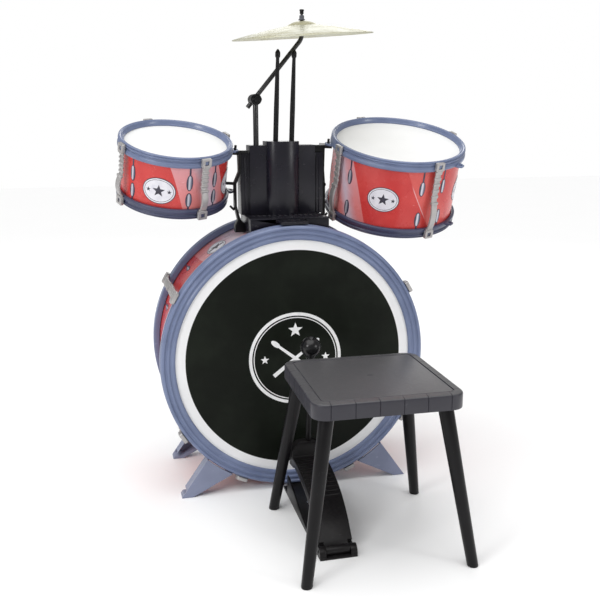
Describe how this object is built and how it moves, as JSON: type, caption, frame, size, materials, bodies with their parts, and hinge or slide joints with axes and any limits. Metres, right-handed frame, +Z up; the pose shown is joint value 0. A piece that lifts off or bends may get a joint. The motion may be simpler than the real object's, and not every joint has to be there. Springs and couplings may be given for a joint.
{
  "type": "toy drum kit",
  "caption": "Child's plastic drum kit: bass drum on angled feet, two tilted toms hung from a black tower, cymbal on a boom, stored sticks, foot pedal and a square stool.",
  "frame": {"origin": "on the floor under the middle of the whole kit's box", "axes": "+Z up; -Y towards the player, where the pedal and stool are; +X to the player's right; the bass drum's axis runs along Y"},
  "size_m": [0.571, 0.5325, 0.7476],
  "materials": {
    "hoop_plastic": "smooth blue-grey moulding",
    "foot_plastic": "smooth blue-grey moulding",
    "printed_shell": "glossy red print with pale pink slanting bands",
    "front_film": "printed film, black with a white edge ring",
    "white_film": "smooth white film",
    "clamp_plastic": "silver-grey moulding",
    "tower_plastic": "black moulding",
    "bracket_plastic": "black moulding",
    "stick_plastic": "black moulding",
    "stand_tube": "gloss black lacquered tube",
    "stand_plastic": "black moulding",
    "cymbal": "pale gold metallised sheet with fine turned grooves",
    "washer_rubber": "matt black",
    "sleeve_plastic": "grey moulding",
    "steel": "bright drawn wire",
    "pedal_plastic": "black moulding",
    "beater_rod": "gloss black",
    "beater_ball": "gloss black moulding",
    "seat_plastic": "dark grey satin moulding",
    "leg_plastic": "black satin moulding"
  },
  "bodies": {
    "kit": {"bass_back_head": "white_film", "bass_back_hoop": "hoop_plastic", "bass_clamp_1": "clamp_plastic", "bass_clamp_2": "clamp_plastic", "bass_clamp_3": "clamp_plastic", "bass_clamp_4": "clamp_plastic", "bass_clamp_5": "clamp_plastic", "bass_clamp_6": "clamp_plastic", "bass_foot_back_left": "foot_plastic", "bass_foot_back_right": "foot_plastic", "bass_foot_front_left": "foot_plastic", "bass_foot_front_right": "foot_plastic", "bass_front_head": "front_film", "bass_front_hoop": "hoop_plastic", "bass_shell": "printed_shell", "pedal_base": "pedal_plastic", "pedal_hinge_pin": "steel", "pedal_spring": "steel", "tom_left_bottom_hoop": "hoop_plastic", "tom_left_bracket": "bracket_plastic", "tom_left_clamp_1": "clamp_plastic", "tom_left_clamp_2": "clamp_plastic", "tom_left_clamp_3": "clamp_plastic", "tom_left_clamp_4": "clamp_plastic", "tom_left_head": "white_film", "tom_left_shell": "printed_shell", "tom_left_top_hoop": "hoop_plastic", "tom_right_bottom_hoop": "hoop_plastic", "tom_right_bracket": "bracket_plastic", "tom_right_clamp_1": "clamp_plastic", "tom_right_clamp_2": "clamp_plastic", "tom_right_clamp_3": "clamp_plastic", "tom_right_clamp_4": "clamp_plastic", "tom_right_head": "white_film", "tom_right_shell": "printed_shell", "tom_right_top_hoop": "hoop_plastic", "tower_base": "tower_plastic", "tower_body": "tower_plastic"},
    "footboard": {"pedal_footboard": "pedal_plastic", "beater_rod": "beater_rod", "beater_ball": "beater_ball"},
    "post": {"cymbal_post": "stand_tube", "boom_clamp_body": "stand_plastic"},
    "knob": {"boom_clamp_knob": "stand_plastic"},
    "boom": {"boom_clamp_jaw": "stand_plastic", "boom_arm": "stand_tube", "boom_end_cap": "stand_plastic", "cymbal_sleeve": "sleeve_plastic"},
    "washer": {"cymbal_washer": "washer_rubber"},
    "cymbal": {"cymbal": "cymbal"},
    "stick_left": {"drumstick_left": "stick_plastic"},
    "stick_right": {"drumstick_right": "stick_plastic"},
    "stool": {"stool_leg_back_left": "leg_plastic", "stool_leg_back_right": "leg_plastic", "stool_leg_front_left": "leg_plastic", "stool_leg_front_right": "leg_plastic", "stool_seat": "seat_plastic"}
  },
  "joints": [
    {"name": "pedal_press", "type": "hinge", "parent": "kit", "child": "footboard", "pos_m": [-0.0157, -0.19167, 0.009], "axis": [-1, 0, 0], "range_deg": [0, 12.5], "stiffness_Nm_per_rad": 4, "springref_deg": -8.59, "deforming": ["pedal_spring"]},
    {"name": "post_swivel", "type": "hinge", "parent": "kit", "child": "post", "pos_m": [-0.0647, 0.12333, 0.52], "axis": [0, 0, 1], "range_deg": [-4, 60]},
    {"name": "boom_tilt", "type": "hinge", "parent": "post", "child": "boom", "pos_m": [-0.0647, 0.13783, 0.611], "axis": [0, 1, 0], "range_deg": [-3, 18]},
    {"name": "boom_knob_turn", "type": "hinge", "parent": "post", "child": "knob", "pos_m": [-0.0647, 0.11033, 0.611], "axis": [0, 1, 0], "continuous": true},
    {"name": "cymbal_spin", "type": "hinge", "parent": "boom", "child": "washer", "pos_m": [0.0133, 0.13783, 0.728], "axis": [0, 0, 1], "continuous": true},
    {"name": "cymbal_rock", "type": "hinge", "parent": "washer", "child": "cymbal", "pos_m": [0.0133, 0.13783, 0.7295], "axis": [1, 0, 0], "range_deg": [-5, 5], "stiffness_Nm_per_rad": 0.4},
    {"name": "stick_left_lift", "type": "slide", "parent": "kit", "child": "stick_left", "axis": [0.0349, 0, 0.9994], "range_m": [0, 0.006]},
    {"name": "stick_right_lift", "type": "slide", "parent": "kit", "child": "stick_right", "axis": [0.0349, 0, 0.9994], "range_m": [0, 0.006]},
    {"name": "stool_slide", "type": "slide", "parent": "kit", "child": "stool", "axis": [0, -1, 0], "range_m": [0, 0.12]}
  ]
}
